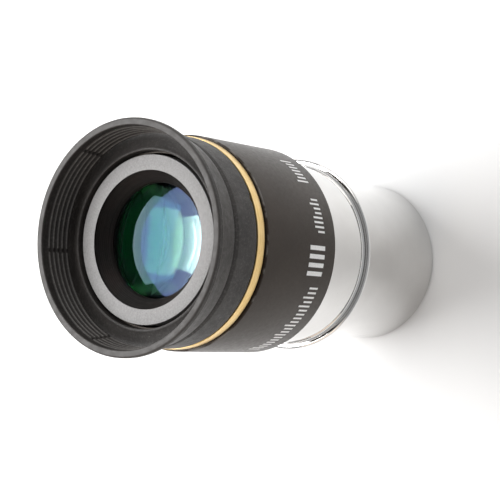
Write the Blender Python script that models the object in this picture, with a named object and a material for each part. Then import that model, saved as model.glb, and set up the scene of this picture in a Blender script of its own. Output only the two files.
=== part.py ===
"""Wide-angle telescope eyepiece, standing on its barrel with the eye end up.

The optical axis is the Z axis, and z = 0 is the barrel's end.
Every ring, tube and lens is a profile of (radius, height) points turned about Z.
"""
import math

import bpy

MM = 0.001
FULL_TURN = 2 * math.pi

# turning
SEGMENTS = 64
LENS_SEGMENTS = 32
LENS_POINTS = 6  # points along each polished surface, from the axis to the edge
GAP = 0.3 * MM  # running gap left between neighbouring pieces

# heights along the axis
BARREL_END_Z = 0.0
FLANGE_LOW_Z = 27.4 * MM
FLANGE_TOP_Z = 28.2 * MM
SLEEVE_LOW_Z = 28.5 * MM
BODY_LOW_Z = 40.8 * MM
BODY_SHOULDER_Z = 61.5 * MM
GOLD_LOW_Z = 61.8 * MM
GOLD_TOP_Z = 63.65 * MM
COLLAR_LOW_Z = 63.95 * MM
NECK_TOP_Z = 68.7 * MM
HINGE_Z = 69.8 * MM  # the moulded groove that the eyecup folds at
FACE_Z = 70.5 * MM
FLOOR_RIM_Z = 71.0 * MM
SKIRT_LOW_Z = 70.2 * MM
SKIRT_TOP_Z = 75.0 * MM
LIP_LOW_Z = 75.3 * MM
LIP_TOP_Z = 76.3 * MM

# outside radii
BARREL_R = 15.875 * MM  # half of the 31.75 mm (1.25 inch) standard
BARREL_CHAMFER = 0.4 * MM
FLANGE_R = 18.3 * MM
FLANGE_EDGE = 0.25 * MM
SLEEVE_R = 17.2 * MM
SLEEVE_FOOT_R = 17.65 * MM
SLEEVE_FOOT_H = 0.35 * MM
BODY_R = 19.0 * MM
BODY_CHAMFER = 0.3 * MM
NECK_R = 16.6 * MM
GOLD_R = 18.6 * MM
COLLAR_R = 18.5 * MM
GROOVE_R = 18.1 * MM
LIP_R = 20.15 * MM

# inside radii
FILTER_THREAD_R = 14.25 * MM  # M28.5 filter thread in the barrel's end
FILTER_THREAD_Z = 5.5 * MM
BARREL_BORE_R = 13.4 * MM
SPIGOT_R = 14.7 * MM  # the barrel's own thread, screwed up into the sleeve
SPIGOT_TOP_Z = 33.0 * MM
SLEEVE_THREAD_R = 15.0 * MM
SLEEVE_THREAD_Z = 33.4 * MM
SLEEVE_BORE_R = 13.2 * MM
SLEEVE_SPIGOT_TOP_Z = 44.3 * MM
BODY_BORE_R = 14.9 * MM
CELL_R = 14.6 * MM
CELL_BORE_R = 12.3 * MM
CELL_LOW_Z = 44.6 * MM
CELL_TOP_Z = 66.6 * MM
GOLD_BORE_R = 16.9 * MM
COLLAR_BORE_R = 16.9 * MM
FLOOR_RIM_R = 15.2 * MM
FLOOR_CORNER_R = 17.8 * MM
LIP_BORE_R = 18.85 * MM

# eye-side retaining ring
FACE_R = 14.55 * MM
FACE_BORE_R = 11.9 * MM
FACE_SEAT_R = 9.9 * MM
FACE_SEAT_Z = (67.4 * MM, 67.75 * MM)
FACE_LOW_R = 11.3 * MM
FACE_LOW_Z = 66.9 * MM
FACE_EDGE = 0.12 * MM

# skirt of the eyecup, with moulded ribs on its inside
RIB_COUNT = 5
RIB_FIRST_Z = 70.7 * MM
RIB_PITCH = 0.97 * MM
RIB_HEIGHT = 0.18 * MM
RIB_HALF_WIDTH = 0.24 * MM
SKIRT_INNER_LOW_R = 18.3 * MM
SKIRT_INNER_TOP_R = 18.95 * MM
SKIRT_OUTER = (  # (radius, height) up the outside
    (18.75 * MM, SKIRT_LOW_Z),
    (19.05 * MM, 71.6 * MM),
    (19.35 * MM, 73.0 * MM),
    (19.75 * MM, 74.2 * MM),
    (20.05 * MM, SKIRT_TOP_Z),
)

# lens stack, from the eye down: the edges' heights and the surfaces' radii of curvature
LENS_R = 12.0 * MM
EYE_LENS_EDGE = (66.15 * MM, 64.35 * MM)
EYE_LENS_CURVES = (28.0 * MM, 60.0 * MM)
MIDDLE_LENS_EDGE = (60.6 * MM, 59.0 * MM)
MIDDLE_LENS_CURVES = (40.0 * MM, 40.0 * MM)
CROWN_EDGE = (53.3 * MM, 51.8 * MM)
CROWN_CURVES = (35.0 * MM, 28.0 * MM)
FLINT_EDGE = (51.5 * MM, 46.9 * MM)
FLINT_CURVES = (-28.0 * MM, 0.0)
SPACER_BORE_R = 10.8 * MM
UPPER_SPACER_Z = (61.3 * MM, 63.8 * MM)
LOWER_SPACER_Z = (54.1 * MM, 58.3 * MM)
FIELD_RETAINER_Z = (44.9 * MM, 46.6 * MM)

# field stop in the barrel's spigot
STOP_R = 13.1 * MM
STOP_APERTURE_R = 8.6 * MM
STOP_Z = (30.5 * MM, 31.7 * MM)
STOP_KNIFE = 0.25 * MM
STOP_RETAINER_BORE_R = 11.4 * MM
STOP_RETAINER_Z = (28.9 * MM, 30.2 * MM)

# spanner slots
SLOT_WIDTH = 1.6 * MM
SLOT_DEPTH = 0.8 * MM

# colour, roughness, metallic
RUBBER = ((0.035, 0.034, 0.034, 1.0), 0.62, 0.0)
BLACK_ANODISED = ((0.055, 0.052, 0.05, 1.0), 0.45, 0.0)
GREY_RING = ((0.42, 0.40, 0.39, 1.0), 0.5, 0.0)
GOLD = ((0.78, 0.56, 0.22, 1.0), 0.35, 1.0)
CHROME = ((0.82, 0.81, 0.79, 1.0), 0.08, 1.0)
INNER_BLACK = ((0.02, 0.02, 0.02, 1.0), 0.7, 0.0)
CROWN_GLASS = ((0.75, 0.85, 0.80, 0.35), 0.02, 0.0)
FLINT_GLASS = ((0.80, 0.78, 0.70, 0.35), 0.02, 0.0)


def clear_scene():
    for old in list(bpy.data.objects):
        bpy.data.objects.remove(old, do_unlink=True)


def material(name, look):
    colour, roughness, metallic = look
    mat = bpy.data.materials.new(name)
    mat.use_nodes = True
    shader = mat.node_tree.nodes["Principled BSDF"]
    shader.inputs["Base Color"].default_value = colour
    shader.inputs["Roughness"].default_value = roughness
    shader.inputs["Metallic"].default_value = metallic
    shader.inputs["Alpha"].default_value = colour[3]
    mat.diffuse_color = colour
    return mat


def add_object(name, verts, faces, look):
    mesh = bpy.data.meshes.new(name)
    mesh.from_pydata(verts, [], faces)
    mesh.materials.append(material(name, look))
    obj = bpy.data.objects.new(name, mesh)
    bpy.context.scene.collection.objects.link(obj)
    return obj


def smooth(obj, angle_deg=35.0):
    """Smooth shading, with edges sharper than the angle kept crisp."""
    for face in obj.data.polygons:
        face.use_smooth = True
    obj.data.update()
    limit = math.radians(angle_deg)
    normals = {}
    for face in obj.data.polygons:
        for key in face.edge_keys:
            normals.setdefault(key, []).append(face.normal.copy())
    for edge in obj.data.edges:
        pair = normals.get(edge.key, [])
        edge.use_edge_sharp = len(pair) == 2 and pair[0].angle(pair[1], 0.0) > limit


def turned_ring(name, profile, look, segments=SEGMENTS):
    """A closed profile that stays clear of the axis, turned into a ring.

    The profile's points run anticlockwise, with the radius to the right and the height up.
    """
    count = len(profile)
    verts = []
    for i in range(segments):
        turn = FULL_TURN * i / segments
        for radius, height in profile:
            verts.append((radius * math.cos(turn), radius * math.sin(turn), height))
    faces = []
    for i in range(segments):
        here = i * count
        ahead = ((i + 1) % segments) * count
        for j in range(count):
            k = (j + 1) % count
            faces.append((here + j, ahead + j, ahead + k, here + k))
    obj = add_object(name, verts, faces, look)
    smooth(obj)
    return obj


def surface_points(edge_z, curve, radius, bulge):
    """Points from the edge to the axis on a spherical surface; bulge is +1 upwards, -1 downwards."""
    if curve == 0.0:
        return [(radius, edge_z), (0.0, edge_z)]
    size = abs(curve)
    sense = bulge if curve > 0 else -bulge
    edge_drop = math.sqrt(size**2 - radius**2)
    points = []
    for i in range(LENS_POINTS):
        r = radius * (1 - i / (LENS_POINTS - 1))
        rise = math.sqrt(size**2 - r**2) - edge_drop
        points.append((r, edge_z + sense * rise))
    return points


def lens(name, edges, curves, look, radius=LENS_R):
    """A turned disc with a spherical or flat surface on each side. A positive curve is convex."""
    upper = surface_points(edges[0], curves[0], radius, 1)
    lower = surface_points(edges[1], curves[1], radius, -1)
    rings = list(reversed(lower[:-1])) + upper[:-1]
    verts = []
    for i in range(LENS_SEGMENTS):
        turn = FULL_TURN * i / LENS_SEGMENTS
        for r, z in rings:
            verts.append((r * math.cos(turn), r * math.sin(turn), z))
    low_pole = len(verts)
    verts.append((0.0, 0.0, lower[-1][1]))
    top_pole = len(verts)
    verts.append((0.0, 0.0, upper[-1][1]))
    count = len(rings)
    faces = []
    for i in range(LENS_SEGMENTS):
        here = i * count
        ahead = ((i + 1) % LENS_SEGMENTS) * count
        for j in range(count - 1):
            faces.append((here + j, ahead + j, ahead + j + 1, here + j + 1))
        faces.append((low_pole, ahead, here))
        faces.append((top_pole, here + count - 1, ahead + count - 1))
    obj = add_object(name, verts, faces, look)
    smooth(obj, 25.0)
    return obj


def plain_ring(name, inner, outer, low, top, look, segments=SEGMENTS):
    profile = [(inner, low), (outer, low), (outer, top), (inner, top)]
    return turned_ring(name, profile, look, segments)


def cut_spanner_slots(obj, radius, low):
    """A slot across the ring's lower face, for a two-pin spanner."""
    half_length = radius + 2 * MM
    half_width = SLOT_WIDTH / 2
    bottom = low - SLOT_DEPTH
    top = low + SLOT_DEPTH
    corners = []
    for z in (bottom, top):
        for y in (-half_width, half_width):
            for x in (-half_length, half_length):
                corners.append((x, y, z))
    faces = [(0, 2, 3, 1), (4, 5, 7, 6), (0, 1, 5, 4), (2, 6, 7, 3), (0, 4, 6, 2), (1, 3, 7, 5)]
    cutter = add_object(obj.name + "_cutter", corners, faces, INNER_BLACK)
    cutter.display_type = "WIRE"
    cutter.hide_render = True
    cut = obj.modifiers.new("spanner_slot", "BOOLEAN")
    cut.operation = "DIFFERENCE"
    cut.solver = "EXACT"
    cut.object = cutter


def skirt_profile():
    """Up the flared outside, then down the ribbed inside."""
    points = list(SKIRT_OUTER)

    def inner_r(z):
        share = (z - SKIRT_LOW_Z) / (SKIRT_TOP_Z - SKIRT_LOW_Z)
        return SKIRT_INNER_LOW_R + share * (SKIRT_INNER_TOP_R - SKIRT_INNER_LOW_R)

    points.append((inner_r(SKIRT_TOP_Z), SKIRT_TOP_Z))
    for i in reversed(range(RIB_COUNT)):
        z = RIB_FIRST_Z + i * RIB_PITCH
        points.append((inner_r(z), z + RIB_HALF_WIDTH))
        points.append((inner_r(z) - RIB_HEIGHT, z))
        points.append((inner_r(z), z - RIB_HALF_WIDTH))
    points.append((inner_r(SKIRT_LOW_Z), SKIRT_LOW_Z))
    return points


def build_eyecup():
    floor_z = HINGE_Z + 0.45 * MM
    shoulder_z = HINGE_Z - 0.3 * MM
    collar = [
        (COLLAR_BORE_R, COLLAR_LOW_Z),
        (COLLAR_R, COLLAR_LOW_Z),
        (COLLAR_R, shoulder_z - 0.6 * MM),
        (COLLAR_R - 0.15 * MM, shoulder_z),
        (GROOVE_R, HINGE_Z),
        (FLOOR_CORNER_R, floor_z),
        (FLOOR_RIM_R + 0.5 * MM, FLOOR_RIM_Z),
        (FLOOR_RIM_R, FLOOR_RIM_Z - 0.1 * MM),
        (FLOOR_RIM_R, NECK_TOP_Z + GAP),
        (COLLAR_BORE_R, NECK_TOP_Z + GAP),
    ]
    turned_ring("eyecup_collar", collar, RUBBER)
    turned_ring("eyecup_skirt", skirt_profile(), RUBBER)
    edge = 0.3 * MM
    lip = [
        (LIP_BORE_R, LIP_LOW_Z),
        (LIP_R, LIP_LOW_Z),
        (LIP_R, LIP_TOP_Z - edge),
        (LIP_R - edge, LIP_TOP_Z),
        (LIP_BORE_R + edge / 2, LIP_TOP_Z),
        (LIP_BORE_R, LIP_TOP_Z - edge / 2),
    ]
    turned_ring("eyecup_lip", lip, RUBBER)


def build_housing():
    body = [
        (BODY_BORE_R, BODY_LOW_Z),
        (BODY_R - BODY_CHAMFER, BODY_LOW_Z),
        (BODY_R, BODY_LOW_Z + BODY_CHAMFER),
        (BODY_R, BODY_SHOULDER_Z - BODY_CHAMFER),
        (BODY_R - BODY_CHAMFER, BODY_SHOULDER_Z),
        (NECK_R, BODY_SHOULDER_Z),
        (NECK_R, NECK_TOP_Z),
        (BODY_BORE_R, NECK_TOP_Z),
    ]
    turned_ring("body", body, BLACK_ANODISED)
    plain_ring("gold_ring", GOLD_BORE_R, GOLD_R, GOLD_LOW_Z, GOLD_TOP_Z, GOLD)
    face = [
        (FACE_SEAT_R, FACE_SEAT_Z[0]),
        (FACE_LOW_R, FACE_LOW_Z),
        (FACE_R, FACE_LOW_Z),
        (FACE_R, FACE_Z - FACE_EDGE),
        (FACE_R - FACE_EDGE, FACE_Z),
        (FACE_BORE_R, FACE_Z),
        (FACE_SEAT_R, FACE_SEAT_Z[1]),
    ]
    turned_ring("face_ring", face, GREY_RING)


def build_optics():
    plain_ring("lens_cell", CELL_BORE_R, CELL_R, CELL_LOW_Z, CELL_TOP_Z, INNER_BLACK, LENS_SEGMENTS)
    lens("eye_lens", EYE_LENS_EDGE, EYE_LENS_CURVES, CROWN_GLASS)
    lens("middle_lens", MIDDLE_LENS_EDGE, MIDDLE_LENS_CURVES, CROWN_GLASS)
    lens("field_lens_crown", CROWN_EDGE, CROWN_CURVES, CROWN_GLASS)
    lens("field_lens_flint", FLINT_EDGE, FLINT_CURVES, FLINT_GLASS)
    for name, span in (("spacer_upper", UPPER_SPACER_Z), ("spacer_lower", LOWER_SPACER_Z)):
        plain_ring(name, SPACER_BORE_R, LENS_R, span[0], span[1], INNER_BLACK, LENS_SEGMENTS)
    low, top = FIELD_RETAINER_Z
    ring = plain_ring("field_retainer", SPACER_BORE_R, LENS_R, low, top, INNER_BLACK, LENS_SEGMENTS)
    cut_spanner_slots(ring, LENS_R, low)


def build_nosepiece():
    sleeve = [
        (SLEEVE_THREAD_R, SLEEVE_LOW_Z),
        (SLEEVE_FOOT_R, SLEEVE_LOW_Z),
        (SLEEVE_R, SLEEVE_LOW_Z + SLEEVE_FOOT_H),
        (SLEEVE_R, BODY_LOW_Z - GAP),
        (CELL_R, BODY_LOW_Z - GAP),
        (CELL_R, SLEEVE_SPIGOT_TOP_Z),
        (SLEEVE_BORE_R, SLEEVE_SPIGOT_TOP_Z),
        (SLEEVE_BORE_R, SLEEVE_THREAD_Z),
        (SLEEVE_THREAD_R, SLEEVE_THREAD_Z),
    ]
    turned_ring("chrome_sleeve", sleeve, CHROME)
    barrel = [
        (FILTER_THREAD_R, BARREL_END_Z),
        (BARREL_R - BARREL_CHAMFER, BARREL_END_Z),
        (BARREL_R, BARREL_END_Z + BARREL_CHAMFER),
        (BARREL_R, FLANGE_LOW_Z),
        (FLANGE_R - FLANGE_EDGE, FLANGE_LOW_Z),
        (FLANGE_R, FLANGE_LOW_Z + FLANGE_EDGE),
        (FLANGE_R, FLANGE_TOP_Z - FLANGE_EDGE),
        (FLANGE_R - FLANGE_EDGE, FLANGE_TOP_Z),
        (SPIGOT_R, FLANGE_TOP_Z),
        (SPIGOT_R, SPIGOT_TOP_Z),
        (BARREL_BORE_R, SPIGOT_TOP_Z),
        (BARREL_BORE_R, FILTER_THREAD_Z),
        (FILTER_THREAD_R, FILTER_THREAD_Z - 0.5 * MM),
    ]
    turned_ring("barrel", barrel, CHROME)
    low, top = STOP_Z
    stop = [
        (STOP_APERTURE_R, low),
        (STOP_R, low),
        (STOP_R, top),
        (STOP_APERTURE_R + top - low - STOP_KNIFE, top),
        (STOP_APERTURE_R, low + STOP_KNIFE),
    ]
    turned_ring("field_stop", stop, INNER_BLACK, LENS_SEGMENTS)
    low, top = STOP_RETAINER_Z
    ring = plain_ring("stop_retainer", STOP_RETAINER_BORE_R, STOP_R, low, top, INNER_BLACK, LENS_SEGMENTS)
    cut_spanner_slots(ring, STOP_R, low)


def main():
    clear_scene()
    build_eyecup()
    build_housing()
    build_optics()
    build_nosepiece()


main()
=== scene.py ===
"""Looks of a wide-angle telescope eyepiece: turned pieces, procedural materials, studio and camera.

Every piece is turned about the optical axis, Z. Heights and outside radii come from the frame's nodes.
"""

import math
import random

import bpy
from mathutils import Matrix, Vector


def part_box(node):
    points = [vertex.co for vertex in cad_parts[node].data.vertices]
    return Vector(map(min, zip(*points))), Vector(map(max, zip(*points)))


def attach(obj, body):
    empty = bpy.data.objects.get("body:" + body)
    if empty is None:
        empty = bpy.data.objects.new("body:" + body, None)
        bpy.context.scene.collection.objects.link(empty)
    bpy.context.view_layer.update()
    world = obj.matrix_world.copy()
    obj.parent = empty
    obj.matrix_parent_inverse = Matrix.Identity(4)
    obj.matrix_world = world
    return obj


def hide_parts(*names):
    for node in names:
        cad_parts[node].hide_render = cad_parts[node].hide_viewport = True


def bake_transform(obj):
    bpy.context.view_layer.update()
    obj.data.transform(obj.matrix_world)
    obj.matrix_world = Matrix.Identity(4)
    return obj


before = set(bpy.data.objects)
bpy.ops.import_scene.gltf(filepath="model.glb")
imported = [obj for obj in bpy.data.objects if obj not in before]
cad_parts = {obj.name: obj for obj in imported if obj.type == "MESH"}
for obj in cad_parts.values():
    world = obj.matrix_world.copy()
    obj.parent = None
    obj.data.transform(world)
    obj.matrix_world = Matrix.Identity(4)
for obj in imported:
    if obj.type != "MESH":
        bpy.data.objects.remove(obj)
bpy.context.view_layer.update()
random.seed(7)

MM = 0.001
TURN = 2 * math.pi

# ------------------------------------------------------------------ measures from the frame

NODES = (
    "eyecup_collar", "eyecup_skirt", "eyecup_lip", "face_ring", "gold_ring", "body", "lens_cell",
    "eye_lens", "middle_lens", "field_lens_crown", "field_lens_flint", "spacer_upper", "spacer_lower",
    "field_retainer", "chrome_sleeve", "field_stop", "stop_retainer", "barrel",
)
BOXES = {node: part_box(node) for node in NODES}


def low_z(node):
    return BOXES[node][0][2]


def top_z(node):
    return BOXES[node][1][2]


def outer_r(node):
    return BOXES[node][1][0]


SHOULDER_Z = low_z("gold_ring") - 0.3 * MM  # where the body's wide part ends, under the gold ring

# ------------------------------------------------------------------ turned meshes


def rounded(points, steps=4):
    """Corner points (r, z, fillet radius) become a path whose corners are arcs."""
    path = []
    count = len(points)
    for i, (r, z, fillet) in enumerate(points):
        here = Vector((r, z))
        if fillet <= 0:
            path.append((r, z))
            continue
        before = (Vector(points[i - 1][:2]) - here).normalized()
        after = (Vector(points[(i + 1) % count][:2]) - here).normalized()
        angle = before.angle(after)
        reach = fillet / math.tan(angle / 2)
        centre = here + (before + after).normalized() * (fillet / math.sin(angle / 2))
        first = here + before * reach - centre
        last = here + after * reach - centre
        for k in range(steps + 1):
            ray = first.lerp(last, k / steps).normalized() * fillet
            path.append(tuple(centre + ray))
    return path


def keep_creases(mesh, angle_deg):
    """Smooth shading with crisp edges wherever two faces meet at more than the angle."""
    limit = math.radians(angle_deg)
    for face in mesh.polygons:
        face.use_smooth = True
    normals = {}
    for face in mesh.polygons:
        for key in face.edge_keys:
            normals.setdefault(key, []).append(face.normal.copy())
    for edge in mesh.edges:
        pair = normals.get(edge.key, [])
        edge.use_edge_sharp = len(pair) == 2 and pair[0].angle(pair[1], 0.0) > limit


def add_piece(name, verts, faces, mat, body, replaces=(), crease=32.0):
    mesh = bpy.data.meshes.new(name)
    mesh.from_pydata(verts, [], faces)
    mesh.update()
    mesh.materials.append(mat)
    keep_creases(mesh, crease)
    obj = bpy.data.objects.new(name, mesh)
    bpy.context.scene.collection.objects.link(obj)
    if body:
        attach(obj, body)
    if replaces:
        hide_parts(*replaces)
    return obj


def turned(name, path, mat, body, replaces=(), segments=192, shape=None, crease=32.0):
    """A closed anticlockwise path of (r, z) turned about Z. shape(r, z, turn) may move a point."""
    count = len(path)
    verts = []
    for i in range(segments):
        turn = TURN * i / segments
        for r, z in path:
            if shape:
                rr, zz = shape(r, z, turn)
            else:
                rr, zz = r, z
            verts.append((rr * math.cos(turn), rr * math.sin(turn), zz))
    faces = []
    for i in range(segments):
        here = i * count
        ahead = ((i + 1) % segments) * count
        for j in range(count):
            k = (j + 1) % count
            faces.append((here + j, ahead + j, ahead + k, here + k))
    return add_piece(name, verts, faces, mat, body, replaces, crease)


def cap_path(radius, edge_z, curve, side, steps=14):
    """Points of a spherical surface from its edge in to the axis, without the axis point."""
    path = []
    for k in range(steps):
        r = radius * (1 - k / steps)
        if curve == 0.0:
            path.append((r, edge_z))
        else:
            size = abs(curve)
            rise = math.sqrt(size**2 - r**2) - math.sqrt(size**2 - radius**2)
            path.append((r, edge_z + side * math.copysign(rise, curve)))
    return path


def apex(radius, edge_z, curve, side):
    if curve == 0.0:
        return edge_z
    size = abs(curve)
    return edge_z + side * math.copysign(size - math.sqrt(size**2 - radius**2), curve)


def turned_lens(name, node, edges, curves, coatings, segments=128):
    """A lens with a ground bevel on both rims. In each pair the upper surface comes first."""
    bevel = 0.12 * MM
    radius = outer_r("eye_lens")
    upper = cap_path(radius - bevel, edges[0], curves[0], 1)
    lower = cap_path(radius - bevel, edges[1], curves[1], -1)
    side = [(radius, edges[1] + bevel), (radius, edges[0] - bevel)]
    rings = list(reversed(lower)) + side + upper
    verts = []
    for i in range(segments):
        turn = TURN * i / segments
        for r, z in rings:
            verts.append((r * math.cos(turn), r * math.sin(turn), z))
    low_pole = len(verts)
    verts.append((0, 0, apex(radius - bevel, edges[1], curves[1], -1)))
    top_pole = len(verts)
    verts.append((0, 0, apex(radius - bevel, edges[0], curves[0], 1)))
    count = len(rings)
    faces = []
    for i in range(segments):
        here = i * count
        ahead = ((i + 1) % segments) * count
        for j in range(count - 1):
            faces.append((here + j, ahead + j, ahead + j + 1, here + j + 1))
        faces.append((low_pole, ahead, here))
        faces.append((top_pole, here + count - 1, ahead + count - 1))
    lens = add_piece(name, verts, faces, coatings[0], "housing", (node,), 30.0)
    lens.data.materials.append(coatings[1])
    for face in lens.data.polygons:
        face.material_index = 1 if face.normal.z < -0.2 else 0


# ------------------------------------------------------------------ materials


class Nodes:
    """Short calls for building a material's node tree."""

    def __init__(self, name):
        self.mat = bpy.data.materials.new(name)
        self.mat.use_nodes = True
        self.tree = self.mat.node_tree
        self.shader = self.tree.nodes["Principled BSDF"]
        self.coords = self.add("ShaderNodeTexCoord").outputs["Object"]

    def add(self, kind, **settings):
        node = self.tree.nodes.new(kind)
        for key, value in settings.items():
            setattr(node, key, value)
        return node

    def link(self, source, target):
        self.tree.links.new(source, target)

    def plug(self, socket, value):
        if isinstance(value, bpy.types.NodeSocket):
            self.link(value, socket)
        else:
            socket.default_value = value

    def math(self, operation, a, b=0.0):
        node = self.add("ShaderNodeMath", operation=operation)
        self.plug(node.inputs[0], a)
        self.plug(node.inputs[1], b)
        return node.outputs[0]

    def noise(self, scale, detail=3.0, rough=0.5, vector=None):
        node = self.add("ShaderNodeTexNoise")
        node.inputs["Scale"].default_value = scale
        node.inputs["Detail"].default_value = detail
        node.inputs["Roughness"].default_value = rough
        self.link(vector or self.coords, node.inputs["Vector"])
        return node.outputs["Fac"]

    def cells(self, scale):
        node = self.add("ShaderNodeTexVoronoi", feature="F1")
        node.inputs["Scale"].default_value = scale
        self.link(self.coords, node.inputs["Vector"])
        return node.outputs["Distance"]

    def remap(self, value, a, b, c, d):
        node = self.add("ShaderNodeMapRange", clamp=True)
        for socket, number in zip(node.inputs[1:5], (a, b, c, d)):
            socket.default_value = number
        self.link(value, node.inputs[0])
        return node.outputs[0]

    def mix(self, share, a, b):
        node = self.add("ShaderNodeMix", data_type="RGBA")
        self.plug(node.inputs["Factor"], share)
        for socket, colour in ((node.inputs["A"], a), (node.inputs["B"], b)):
            if isinstance(colour, tuple) and len(colour) == 3:
                colour = (*colour, 1.0)
            self.plug(socket, colour)
        return node.outputs["Result"]

    def axes(self):
        """Radius from the axis, height, and the angle about it."""
        parts = self.add("ShaderNodeSeparateXYZ")
        self.link(self.coords, parts.inputs[0])
        x, y, z = parts.outputs
        flat = self.add("ShaderNodeCombineXYZ")
        self.link(x, flat.inputs[0])
        self.link(y, flat.inputs[1])
        length = self.add("ShaderNodeVectorMath", operation="LENGTH")
        self.link(flat.outputs[0], length.inputs[0])
        turn = self.math("ARCTAN2", y, x)
        return length.outputs["Value"], z, turn

    def rings(self, scale, detail=2.0):
        """Noise that changes only across the turning marks: along the radius and the height."""
        radius, height, turn = self.axes()
        joined = self.add("ShaderNodeCombineXYZ")
        self.link(radius, joined.inputs[0])
        self.link(height, joined.inputs[1])
        self.link(self.math("MULTIPLY", turn, 0.0002), joined.inputs[2])
        return self.noise(scale, detail, 0.6, joined.outputs[0])

    def bump(self, height, distance, strength):
        node = self.add("ShaderNodeBump")
        node.inputs["Strength"].default_value = strength
        node.inputs["Distance"].default_value = distance
        self.link(height, node.inputs["Height"])
        return node.outputs["Normal"]

    def finish(self, colour, roughness, normal=None, **fixed):
        if isinstance(colour, tuple):
            colour = (*colour, 1.0)
        self.plug(self.shader.inputs["Base Color"], colour)
        self.plug(self.shader.inputs["Roughness"], roughness)
        if normal:
            self.link(normal, self.shader.inputs["Normal"])
        for key, value in fixed.items():
            self.shader.inputs[key.replace("_", " ")].default_value = value
        return self.mat


def rubber(name="moulded_rubber", wear_and_sheen=0.0, worn=(0.100, 0.092, 0.086)):
    n = Nodes(name)
    cloud = n.noise(160, 4)
    grain = n.noise(2700, 4, 0.65)
    colour = n.mix(n.remap(cloud, 0.35, 0.7, 0, 1), (0.018, 0.0155, 0.014), (0.031, 0.027, 0.0245))
    # Lighter flecks by the grain. With a large share and a pale colour, as for the rib crests, this is
    # painted highlight, with rub wear.
    colour = n.mix(n.remap(grain, 0.5, 0.75, wear_and_sheen, 0.5 + wear_and_sheen), colour, worn)
    specks = n.remap(n.cells(620), 0.0, 0.10, 1, 0)
    dust = n.math("MULTIPLY", specks, n.remap(n.noise(90, 2), 0.52, 0.62, 0, 0.5))
    colour = n.mix(dust, colour, (0.22, 0.21, 0.20))
    # Painted sheen with some rub wear: a lighter band along the lip's top stands for its glancing reflection
    # of the bright surround.
    _, height, _ = n.axes()
    lip_sheen_and_wear = n.remap(height, top_z("eyecup_lip") - 0.5 * MM, top_z("eyecup_lip") - 0.1 * MM, 0, 0.6)
    colour = n.mix(lip_sheen_and_wear, colour, (0.050, 0.045, 0.042))
    rough = n.remap(n.noise(900, 3), 0.3, 0.7, 0.46, 0.60)
    normal = n.bump(grain, 0.045 * MM, 0.7)
    return n.finish(colour, rough, normal, Specular_IOR_Level=0.42)


def black_anodised():
    n = Nodes("black_anodised")
    cloud = n.noise(110, 3)
    grain = n.noise(7000, 2)
    colour = n.mix(n.remap(cloud, 0.35, 0.7, 0, 1), (0.0165, 0.0120, 0.0092), (0.0235, 0.0175, 0.0135))
    colour = n.mix(n.remap(grain, 0.45, 0.75, 0, 0.16), colour, (0.080, 0.070, 0.062))
    radius, height, _ = n.axes()
    top = n.remap(height, SHOULDER_Z - 0.3 * MM, SHOULDER_Z, 0, 1)
    worn = n.math("MULTIPLY", top, n.remap(n.noise(420, 4), 0.46, 0.60, 0, 0.85))
    edge = n.remap(radius, outer_r("body") - 0.3 * MM, outer_r("body") - 0.05 * MM, 0, 1)
    worn = n.math("MULTIPLY", worn, edge)
    colour = n.mix(worn, colour, (0.34, 0.33, 0.32))
    rough = n.remap(n.noise(1500, 3), 0.3, 0.7, 0.34, 0.44)
    normal = n.bump(grain, 0.012 * MM, 0.35)
    n.shader.inputs["Specular Tint"].default_value = (1.0, 0.88, 0.78, 1.0)
    return n.finish(colour, rough, normal, Specular_IOR_Level=0.33)


def face_anodised():
    n = Nodes("face_ring_painted_sheen")
    grain = n.noise(3400, 4, 0.75)
    # Grey base colour is painted sheen: it stands for light off the flat face of a matte black anodised
    # ring.
    colour = n.mix(n.remap(grain, 0.32, 0.7, 0, 1), (0.135, 0.13, 0.127), (0.225, 0.218, 0.214))
    colour = n.mix(n.remap(n.noise(140, 3), 0.4, 0.7, 0, 0.25), colour, (0.22, 0.215, 0.21))
    rough = n.remap(n.noise(1800, 2), 0.3, 0.7, 0.42, 0.55)
    normal = n.bump(grain, 0.010 * MM, 0.5)
    return n.finish(colour, rough, normal, Specular_IOR_Level=0.5)


def cone_black():
    n = Nodes("threaded_cone_black")
    marks = n.rings(3800, 3)
    brown = n.remap(n.noise(120, 3), 0.4, 0.7, 0, 0.6)
    colour = n.mix(n.remap(marks, 0.35, 0.7, 0, 1), (0.003, 0.0025, 0.002), (0.010, 0.008, 0.007))
    colour = n.mix(brown, colour, (0.016, 0.007, 0.005))
    rough = n.remap(n.noise(1300, 3), 0.3, 0.7, 0.42, 0.6)
    normal = n.bump(marks, 0.012 * MM, 0.5)
    return n.finish(colour, rough, normal, Specular_IOR_Level=0.18)


def gold_anodised():
    n = Nodes("gold_anodised")
    marks = n.rings(9000, 2)
    patch = n.noise(260, 3)
    colour = n.mix(n.remap(marks, 0.3, 0.7, 0, 1), (0.66, 0.45, 0.17), (0.83, 0.62, 0.30))
    colour = n.mix(n.remap(patch, 0.45, 0.7, 0, 0.35), colour, (0.90, 0.72, 0.42))
    colour = n.mix(n.remap(n.cells(900), 0.0, 0.07, 0.5, 0), colour, (0.25, 0.15, 0.05))
    rough = n.remap(n.noise(2400, 2), 0.3, 0.7, 0.30, 0.44)
    normal = n.bump(marks, 0.006 * MM, 0.5)
    return n.finish(colour, rough, normal, Metallic=1.0)


def chrome():
    n = Nodes("polished_chrome")
    marks = n.rings(5200, 2)
    smudge = n.noise(140, 4)
    colour = n.mix(n.remap(smudge, 0.35, 0.7, 0, 1), (0.66, 0.652, 0.640), (0.71, 0.703, 0.692))
    colour = n.mix(n.remap(n.cells(520), 0.0, 0.035, 0.8, 0), colour, (0.16, 0.14, 0.12))
    rough = n.remap(smudge, 0.35, 0.75, 0.03, 0.065)
    normal = n.bump(marks, 0.0012 * MM, 0.4)
    return n.finish(colour, rough, normal, Metallic=1.0)


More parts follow.
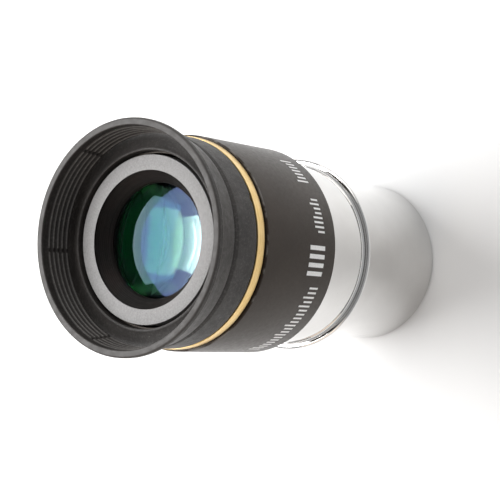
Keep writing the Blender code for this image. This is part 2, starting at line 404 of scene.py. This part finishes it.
def inner_black():
    n = Nodes("matte_inner_black")
    marks = n.rings(4200, 3)
    colour = n.mix(n.remap(marks, 0.35, 0.7, 0, 1), (0.014, 0.013, 0.013), (0.030, 0.028, 0.027))
    rough = n.remap(n.noise(1300, 3), 0.3, 0.7, 0.55, 0.75)
    normal = n.bump(marks, 0.02 * MM, 0.5)
    return n.finish(colour, rough, normal, Specular_IOR_Level=0.4)


def coated_glass(name, tint, body_tint):
    n = Nodes(name)
    haze = n.noise(300, 3)
    dust = n.remap(n.cells(700), 0.0, 0.03, 1, 0)
    rough = n.math("ADD", n.remap(haze, 0.4, 0.7, 0.0, 0.012), n.math("MULTIPLY", dust, 0.25))
    mat = n.finish(body_tint, rough, None, Transmission_Weight=1.0, IOR=1.52)
    n.shader.inputs["Specular Tint"].default_value = (*tint, 1.0)
    return mat


def print_white():
    n = Nodes("white_print")
    grain = n.noise(4200, 3)
    colour = n.mix(n.remap(grain, 0.35, 0.7, 0, 1), (0.74, 0.74, 0.73), (0.88, 0.88, 0.87))
    rough = n.remap(grain, 0.3, 0.7, 0.5, 0.65)
    normal = n.bump(grain, 0.008 * MM, 0.4)
    return n.finish(colour, rough, normal)


def pale_floor():
    n = Nodes("pale_floor")
    colour = n.mix(n.remap(n.noise(14, 3), 0.35, 0.7, 0, 1), (0.86, 0.86, 0.86), (0.90, 0.90, 0.895))
    normal = n.bump(n.noise(900, 2), 0.05 * MM, 0.15)
    return n.finish(colour, 0.7, normal, Specular_IOR_Level=0.2)


RUBBER = rubber()
# Rib crests: lighter rubber that paints their highlight, with rub wear.
RIB_SHEEN_RUBBER = rubber("rib_crest_sheen_and_rub", 0.45, (0.20, 0.19, 0.18))
BLACK = black_anodised()
SHEEN_GREY = face_anodised()
CONE = cone_black()
GOLD = gold_anodised()
CHROME = chrome()
INNER = inner_black()
WHITE = print_white()

# ------------------------------------------------------------------ eyecup

RIBS = 5
RIB_FIRST = 70.7 * MM
RIB_PITCH = 0.97 * MM
RIB_HEIGHT = 0.2 * MM
# height from the rib's middle in mm, and share of its full height
RIB_FORM = ((0.30, 0.0), (0.17, 0.55), (0.05, 1.0), (-0.08, 0.95), (-0.2, 0.5), (-0.30, 0.0))
SEAMS = 6
SEAM_FIRST = math.radians(40.6)
SEAM_HALF_TURN = math.radians(0.7)
DENTS = 9
DENT_HALF_TURN = 0.03
HINGE_Z = 69.8 * MM  # the moulded groove that the cup folds at


def cup_wall_r(z):
    """Radius of the cup's inside wall between the ribs."""
    low, top = HINGE_Z + 0.5 * MM, top_z("eyecup_skirt")
    share = min(1.0, max(0.0, (z - low) / (top - low)))
    return (18.28 + 0.62 * share**0.8) * MM


def build_eyecup():
    low = low_z("eyecup_collar")
    band = outer_r("eyecup_collar")
    floor_rim = top_z("eyecup_collar")
    top = top_z("eyecup_lip")
    lip = outer_r("eyecup_lip")
    outside = [
        (16.95 * MM, low, 0.1 * MM),
        (band, low, 0.15 * MM),
        (band, low + 0.6 * MM, 0.0),
        (band, HINGE_Z - 0.9 * MM, 0.6 * MM),
        (band - 0.22 * MM, HINGE_Z - 0.35 * MM, 0.15 * MM),
        (18.06 * MM, HINGE_Z, 0.1 * MM),
        (18.62 * MM, HINGE_Z + 0.5 * MM, 0.35 * MM),
        (18.95 * MM, 71.6 * MM, 2.0 * MM),
        (19.35 * MM, 73.2 * MM, 2.5 * MM),
        (19.85 * MM, 74.9 * MM, 1.2 * MM),
        (lip, 75.35 * MM, 0.3 * MM),
        (lip, top, 0.36 * MM),
        (18.86 * MM, top, 0.2 * MM),
        (cup_wall_r(top_z("eyecup_skirt")), 75.45 * MM, 0.1 * MM),
    ]
    path = rounded(outside)
    for i in reversed(range(RIBS)):
        z = RIB_FIRST + i * RIB_PITCH
        for dz, share in RIB_FORM:
            zz = z + dz * MM
            path.append((cup_wall_r(zz) - RIB_HEIGHT * share, zz))
    path += [
        (cup_wall_r(HINGE_Z + 0.5 * MM), HINGE_Z + 0.42 * MM),
        (17.95 * MM, HINGE_Z + 0.36 * MM),
        (17.3 * MM, HINGE_Z + 0.5 * MM),
        (16.2 * MM, HINGE_Z + 0.82 * MM),
        (15.75 * MM, floor_rim - 0.12 * MM),
        (15.55 * MM, floor_rim - 0.02 * MM),
        (15.35 * MM, floor_rim),
        (15.22 * MM, floor_rim - 0.1 * MM),
        (15.2 * MM, top_z("body") + 0.35 * MM),
        (16.95 * MM, top_z("body") + 0.32 * MM),
    ]
    rib_zone = (RIB_FIRST - 0.4 * MM, RIB_FIRST + (RIBS - 1) * RIB_PITCH + 0.4 * MM)
    shifts = [random.uniform(-0.09, 0.09) * MM for _ in range(SEAMS)]
    dents = [random.uniform(0, TURN) for _ in range(DENTS)]

    def shape(r, z, turn):
        """Breaks in the ribs at the mould seams, and nicks along the collar's lower edge."""
        spot = ((turn - SEAM_FIRST) / TURN * SEAMS) % SEAMS
        near = abs(spot - round(spot)) * TURN / SEAMS
        wall = cup_wall_r(z)
        if rib_zone[0] < z < rib_zone[1] and wall - 0.3 * MM < r <= wall + 1e-7:
            if near < SEAM_HALF_TURN:
                return wall + 0.02 * MM, z
            return r, z + shifts[int(spot) % SEAMS]
        if z < low + 0.5 * MM and r > band - 0.2 * MM:
            for dent in dents:
                off = (turn - dent + math.pi) % TURN - math.pi
                if abs(off) < DENT_HALF_TURN:
                    return r - 0.12 * MM, z + 0.10 * MM * (1 - abs(off) / DENT_HALF_TURN)
            return r, z + 0.025 * MM * math.sin(turn * 23) * math.sin(turn * 7 + 1)
        return r, z

    cup = turned("eyecup", path, RUBBER, None,
                 ("eyecup_collar", "eyecup_skirt", "eyecup_lip"), 300, shape, 40.0)
    # The rib crest faces take the lighter rubber, a painted highlight with rub wear.
    cup.data.materials.append(RIB_SHEEN_RUBBER)
    for face in cup.data.polygons:
        x, y, z = face.center
        if rib_zone[0] < z < rib_zone[1]:
            depth = cup_wall_r(z) - math.hypot(x, y)
            face.material_index = 1 if 0.12 * MM < depth < 0.3 * MM else 0
    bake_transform(cup)


# ------------------------------------------------------------------ metal pieces

TUBE_BORE_R = 14.9 * MM
NECK_R = 16.6 * MM
LEDGE_R = 18.3 * MM
GOLD_BORE_R = 16.9 * MM

SLEEVE_RIM_R = 17.65 * MM
SLEEVE_R = 17.2 * MM
SLEEVE_NECK_R = 14.6 * MM
SLEEVE_BORE_R = 13.2 * MM
SOCKET_R = 15.0 * MM
SOCKET_TOP_Z = 33.4 * MM

BARREL_R = 15.875 * MM  # half of 31.75 mm, the 1.25 inch standard
BARREL_BORE_R = 13.4 * MM
FLANGE_LOW_Z = 27.4 * MM
FLANGE_TOP_Z = 28.35 * MM
SPIGOT_R = 14.7 * MM
FILTER_THREAD_R = 14.25 * MM
FILTER_THREAD_TOP_Z = 5.5 * MM
THREAD_PITCH = 0.6 * MM
THREAD_DEPTH = 0.22 * MM


def build_housing():
    low, top, r = low_z("body"), top_z("body"), outer_r("body")
    ledge = low_z("gold_ring") - 0.04 * MM
    body = rounded([
        (TUBE_BORE_R, low, 0.1 * MM),
        (r, low, 0.18 * MM),
        (r, SHOULDER_Z, 0.28 * MM),
        (LEDGE_R, SHOULDER_Z, 0.08 * MM),
        (LEDGE_R, ledge, 0.08 * MM),
        (NECK_R, ledge, 0.03 * MM),
        (NECK_R, top, 0.2 * MM),
        (TUBE_BORE_R, top, 0.1 * MM),
    ])
    turned("body_tube", body, BLACK, "housing", ("body",))
    low, top, r = low_z("gold_ring"), top_z("gold_ring") + 0.12 * MM, outer_r("gold_ring")
    gold = rounded([
        (GOLD_BORE_R, low, 0.05 * MM),
        (r, low, 0.1 * MM),
        (r, top, 0.08 * MM),
        (GOLD_BORE_R, top, 0.05 * MM),
    ])
    turned("gold_trim", gold, GOLD, "housing", ("gold_ring",))
    build_face_ring()


def build_face_ring():
    """A flat ring, its grey a painted sheen standing for light off its black anodised face, whose grooved
    cone runs down to a seat on the eye lens.
    """
    low, top, r = low_z("face_ring"), top_z("face_ring"), outer_r("face_ring")
    bore, seat_r, seat_z = 11.9 * MM, 9.95 * MM, 67.75 * MM
    foot_r, foot_z = 11.3 * MM, 67.4 * MM
    path = rounded([
        (seat_r, foot_z, 0.0),
        (foot_r, low, 0.0),
        (r, low, 0.1 * MM),
        (r, top, 0.1 * MM),
        (bore, top, 0.05 * MM),
    ])
    start = top - 0.35 * MM
    path.append((bore, start))
    grooves = 8
    for i in range(grooves):
        for part, cut in ((0.25, 0.10), (0.5, 0.0), (1.0, 0.0)):
            share = (i + part) / grooves
            z = start + (seat_z + 0.3 * MM - start) * share
            rr = bore + (seat_r + 0.2 * MM - bore) * share + cut * MM
            path.append((rr, z))
    path.append((seat_r + 0.1 * MM, seat_z + 0.12 * MM))
    path.append((seat_r, seat_z))
    ring = turned("eye_side_ring", path, SHEEN_GREY, "housing", ("face_ring",), 192, None, 35.0)
    ring.data.materials.append(CONE)
    for face in ring.data.polygons:
        x, y, z = face.center
        if math.hypot(x, y) < bore + 0.02 * MM and z < top - 0.1 * MM:
            face.material_index = 1


def thread_path(radius, start, grooves, depth):
    """Points up a row of grooves; a negative depth cuts towards the axis."""
    path = []
    for i in range(grooves):
        z = start + i * THREAD_PITCH
        path += [
            (radius, z + 0.1 * THREAD_PITCH),
            (radius + depth, z + 0.35 * THREAD_PITCH),
            (radius, z + 0.6 * THREAD_PITCH),
            (radius, z + 0.9 * THREAD_PITCH),
        ]
    return path


def build_nosepiece():
    low, top = low_z("chrome_sleeve"), top_z("chrome_sleeve")
    under_body = low_z("body") - 0.02 * MM
    sleeve = rounded([
        (SOCKET_R, low, 0.1 * MM),
        (SLEEVE_RIM_R, low, 0.12 * MM),
        (SLEEVE_R, low + 0.5 * MM, 0.35 * MM),
        (SLEEVE_R, under_body, 0.1 * MM),
        (SLEEVE_NECK_R, under_body, 0.05 * MM),
        (SLEEVE_NECK_R, top, 0.2 * MM),
        (SLEEVE_BORE_R, top, 0.2 * MM),
        (SLEEVE_BORE_R, SOCKET_TOP_Z, 0.1 * MM),
        (SOCKET_R, SOCKET_TOP_Z, 0.1 * MM),
    ])
    turned("chrome_sleeve_tube", sleeve, CHROME, "housing", ("chrome_sleeve",))
    top, flange_r = top_z("barrel"), outer_r("barrel")
    outline = rounded([
        (FILTER_THREAD_R, 0.0, 0.15 * MM),
        (BARREL_R, 0.0, 0.4 * MM),
        (BARREL_R, FLANGE_LOW_Z, 0.15 * MM),
        (flange_r, FLANGE_LOW_Z, 0.45 * MM),
        (flange_r, FLANGE_TOP_Z, 0.45 * MM),
        (SPIGOT_R, FLANGE_TOP_Z, 0.1 * MM),
        (SPIGOT_R, top, 0.3 * MM),
        (BARREL_BORE_R, top, 0.2 * MM),
        (BARREL_BORE_R, FILTER_THREAD_TOP_Z, 0.1 * MM),
    ])
    on_flange = [i for i, (_, z) in enumerate(outline) if abs(z - FLANGE_TOP_Z) < 0.11 * MM]
    split = max(on_flange) + 1
    spigot = thread_path(SPIGOT_R, FLANGE_TOP_Z + 0.3 * MM, 6, -THREAD_DEPTH)
    filter_thread = thread_path(FILTER_THREAD_R - THREAD_DEPTH, 0.35 * MM, 8, THREAD_DEPTH)
    barrel = outline[:split] + spigot + outline[split:] + filter_thread[::-1]
    turned("nose_barrel", barrel, CHROME, "barrel", ("barrel",))


def slot_cut(obj, radius, low):
    """Cuts a straight spanner slot across the ring's lower face."""
    half = 0.8 * MM
    mesh = bpy.data.meshes.new(obj.name + "_slot")
    reach = radius + 2 * MM
    corners = [
        (x, y, z)
        for z in (low - MM, low + 0.8 * MM)
        for y in (-half, half)
        for x in (-reach, reach)
    ]
    faces = [(0, 2, 3, 1), (4, 5, 7, 6), (0, 1, 5, 4), (2, 6, 7, 3), (0, 4, 6, 2), (1, 3, 7, 5)]
    mesh.from_pydata(corners, [], faces)
    cutter = bpy.data.objects.new(obj.name + "_slot", mesh)
    bpy.context.scene.collection.objects.link(cutter)
    cut = obj.modifiers.new("slot", "BOOLEAN")
    cut.operation = "DIFFERENCE"
    cut.solver = "EXACT"
    cut.object = cutter
    bpy.context.view_layer.update()
    shape = obj.evaluated_get(bpy.context.evaluated_depsgraph_get())
    done = bpy.data.meshes.new_from_object(shape)
    obj.modifiers.clear()
    obj.data = done
    bpy.data.objects.remove(cutter, do_unlink=True)
    keep_creases(obj.data, 32.0)


def inner_ring(name, node, inner, body, slotted=False):
    low, top, r = low_z(node), top_z(node), outer_r(node)
    path = rounded([
        (inner, low, 0.1 * MM),
        (r, low, 0.1 * MM),
        (r, top, 0.1 * MM),
        (inner, top, 0.1 * MM),
    ], 2)
    ring = turned(name, path, INNER, body, (node,), 128)
    if slotted:
        slot_cut(ring, r, low)


def build_inside():
    spacer_bore = 10.8 * MM
    inner_ring("cell_tube", "lens_cell", 12.3 * MM, "housing")
    inner_ring("upper_spacer_ring", "spacer_upper", spacer_bore, "housing")
    inner_ring("lower_spacer_ring", "spacer_lower", spacer_bore, "housing")
    inner_ring("field_retaining_ring", "field_retainer", spacer_bore, "housing", True)
    inner_ring("stop_retaining_ring", "stop_retainer", 11.4 * MM, "stop_set", True)
    low, top, r = low_z("field_stop"), top_z("field_stop"), outer_r("field_stop")
    aperture, knife = 8.6 * MM, 0.25 * MM
    stop = rounded([
        (aperture, low, 0.0),
        (r, low, 0.1 * MM),
        (r, top, 0.1 * MM),
        (aperture + top - low - knife, top, 0.0),
        (aperture, low + knife, 0.0),
    ], 2)
    turned("field_stop_ring", stop, INNER, "stop_set", ("field_stop",), 128)


def build_lenses():
    """Each surface has its own coating, which tints what it reflects."""
    clear = (0.84, 0.96, 0.96)
    teal = coated_glass("coating_teal", (0.0, 0.20, 0.32), clear)
    green = coated_glass("coating_green", (0.0, 0.42, 0.08), clear)
    violet = coated_glass("coating_violet", (0.04, 0.06, 0.50), clear)
    salmon = coated_glass("coating_salmon", (0.28, 0.07, 0.05), clear)
    # name, CAD node, edge heights, surface curves (0 is flat), coatings
    lenses = (
        ("eye_lens_glass", "eye_lens", (66.15 * MM, 64.35 * MM), (28 * MM, 60 * MM), (teal, green)),
        ("middle_lens_glass", "middle_lens", (60.6 * MM, 59.0 * MM), (40 * MM, 40 * MM), (violet, green)),
        ("crown_lens_glass", "field_lens_crown", (53.3 * MM, 51.8 * MM), (35 * MM, 28 * MM), (teal, violet)),
        ("flint_lens_glass", "field_lens_flint", (51.5 * MM, 46.9 * MM), (-28 * MM, 0.0), (salmon, salmon)),
    )
    for lens in lenses:
        turned_lens(*lens)


# ------------------------------------------------------------------ marks

# first and last azimuth in degrees, lowest and highest stroke end, stroke and pitch in degrees
MARK_RUNS = (
    (-29.0, -48.0, 44.1 * MM, 46.6 * MM, 1.1, 2.7),
    (-57.0, -78.0, 44.2 * MM, 46.2 * MM, 1.1, 2.6),
    (-83.0, -101.5, 44.2 * MM, 48.8 * MM, 2.4, 4.6),
    (-105.0, -160.0, 44.1 * MM, 46.6 * MM, 1.1, 2.7),
)
TALL_STROKE = 0.8 * MM
TALL_SHARE = 0.3
INK = 0.015 * MM


def curved_slab(verts, faces, turns, heights, radii, steps=6):
    """A thin slab that follows the round of the body."""
    start = len(verts)
    for k in range(steps + 1):
        turn = turns[0] + (turns[1] - turns[0]) * k / steps
        for i, j in ((0, 0), (1, 0), (1, 1), (0, 1)):
            verts.append((radii[i] * math.cos(turn), radii[i] * math.sin(turn), heights[j]))
    for k in range(steps):
        for j in range(4):
            a = start + k * 4 + j
            b = start + k * 4 + (j + 1) % 4
            faces.append((a, a + 4, b + 4, b))
    faces.append(tuple(start + j for j in range(4)))
    faces.append(tuple(start + steps * 4 + j for j in reversed(range(4))))


def build_marks():
    """Plain printed strokes round the lower end of the body."""
    r = outer_r("body")
    verts, faces = [], []
    for first, last, low, top, stroke, pitch in MARK_RUNS:
        count = int((first - last) / pitch)
        for i in range(count):
            turn = last + (i + 0.5) * pitch
            tall = TALL_STROKE if random.random() < TALL_SHARE and stroke < 2 else 0.0
            turns = (math.radians(turn - stroke / 2), math.radians(turn + stroke / 2))
            curved_slab(verts, faces, turns, (low, top + tall), (r - INK, r + INK))
    add_piece("printed_strokes", verts, faces, WHITE, "housing")


# ------------------------------------------------------------------ studio and camera

FOCAL_MM = 108.0
HORIZON = 0.52
ZENITH = 0.40
TILT = math.radians(36.5)
ROLL = math.radians(5.74)
AZIMUTH = math.radians(-90.0)
FACE_CENTRE_IN_CAMERA = Vector((-17.62, -1.79, 254.69)) * MM


def camera_axes():
    """World directions of the camera's right, down and forward."""
    forward = Vector((
        -math.cos(AZIMUTH) * math.sin(TILT),
        -math.sin(AZIMUTH) * math.sin(TILT),
        -math.cos(TILT),
    ))
    barrel_way = Vector((0, 0, -1))
    along = (barrel_way - forward * barrel_way.dot(forward)).normalized()
    across = forward.cross(along)
    right = along * math.cos(ROLL) - across * math.sin(ROLL)
    down = along * math.sin(ROLL) + across * math.cos(ROLL)
    return right, down, forward


def build_camera():
    right, down, forward = camera_axes()
    data = bpy.data.cameras.new("camera")
    data.lens = FOCAL_MM
    data.sensor_width = 36.0
    data.clip_start = 0.01
    cam = bpy.data.objects.new("camera", data)
    bpy.context.scene.collection.objects.link(cam)
    face = Vector((0, 0, top_z("face_ring")))
    c = FACE_CENTRE_IN_CAMERA
    place = face - right * c.x - down * c.y - forward * c.z
    turn = Matrix((right, -down, -forward)).transposed().to_4x4()
    cam.matrix_world = Matrix.Translation(place) @ turn
    bpy.context.scene.camera = cam


def area_light(name, place, aim, size, power, colour=(1, 1, 1)):
    data = bpy.data.lights.new(name, "AREA")
    data.shape = "RECTANGLE"
    data.size, data.size_y = size
    data.energy = power
    data.color = colour
    light = bpy.data.objects.new(name, data)
    bpy.context.scene.collection.objects.link(light)
    light.location = place
    light.rotation_euler = (Vector(aim) - Vector(place)).to_track_quat("-Z", "Y").to_euler()


def build_floor():
    half = 6.0
    corners = [(-half, -half, 0), (half, -half, 0), (half, half, 0), (-half, half, 0)]
    floor = bpy.data.meshes.new("floor")
    floor.from_pydata(corners, [], [(0, 1, 2, 3)])
    floor.materials.append(pale_floor())
    obj = bpy.data.objects.new("floor", floor)
    obj.location.z = -0.05 * MM
    bpy.context.scene.collection.objects.link(obj)


def build_world():
    """A pale surround, a little darker overhead than at the horizon."""
    world = bpy.data.worlds.new("studio")
    world.use_nodes = True
    tree = world.node_tree
    coords = tree.nodes.new("ShaderNodeTexCoord")
    parts = tree.nodes.new("ShaderNodeSeparateXYZ")
    ramp = tree.nodes.new("ShaderNodeMapRange")
    ramp.interpolation_type = "SMOOTHSTEP"
    for socket, number in zip(ramp.inputs[1:5], (0.05, 0.75, HORIZON, ZENITH)):
        socket.default_value = number
    tree.links.new(coords.outputs["Generated"], parts.inputs[0])
    tree.links.new(parts.outputs[2], ramp.inputs[0])
    tree.links.new(ramp.outputs[0], tree.nodes["Background"].inputs[1])
    tree.nodes["Background"].inputs[0].default_value = (0.97, 0.98, 1.0, 1.0)
    bpy.context.scene.world = world


def build_lights():
    """A key behind and above the object, and a weaker fill on each side."""
    _, _, forward = camera_axes()
    aim = Vector((0, 0, 0.05))
    behind = Vector((forward.x, forward.y, 0)).normalized()
    side = behind.cross(Vector((0, 0, 1)))
    key_up, fill_up = Vector((0, 0, 0.38)), Vector((0, 0, 0.25))
    fill = (0.35, 0.35)
    area_light("key", aim + behind * 0.32 + key_up, aim, (0.46, 0.34), 3.9)
    area_light("left_fill", aim + side * 0.45 + fill_up, aim, fill, 0.8, (1.0, 0.98, 0.95))
    area_light("right_fill", aim - side * 0.45 + fill_up, aim, fill, 0.45, (1.0, 0.82, 0.66))
    bpy.context.scene.view_settings.view_transform = "Standard"


build_eyecup()
build_housing()
build_nosepiece()
build_inside()
build_lenses()
build_marks()
build_camera()
build_floor()
build_world()
build_lights()
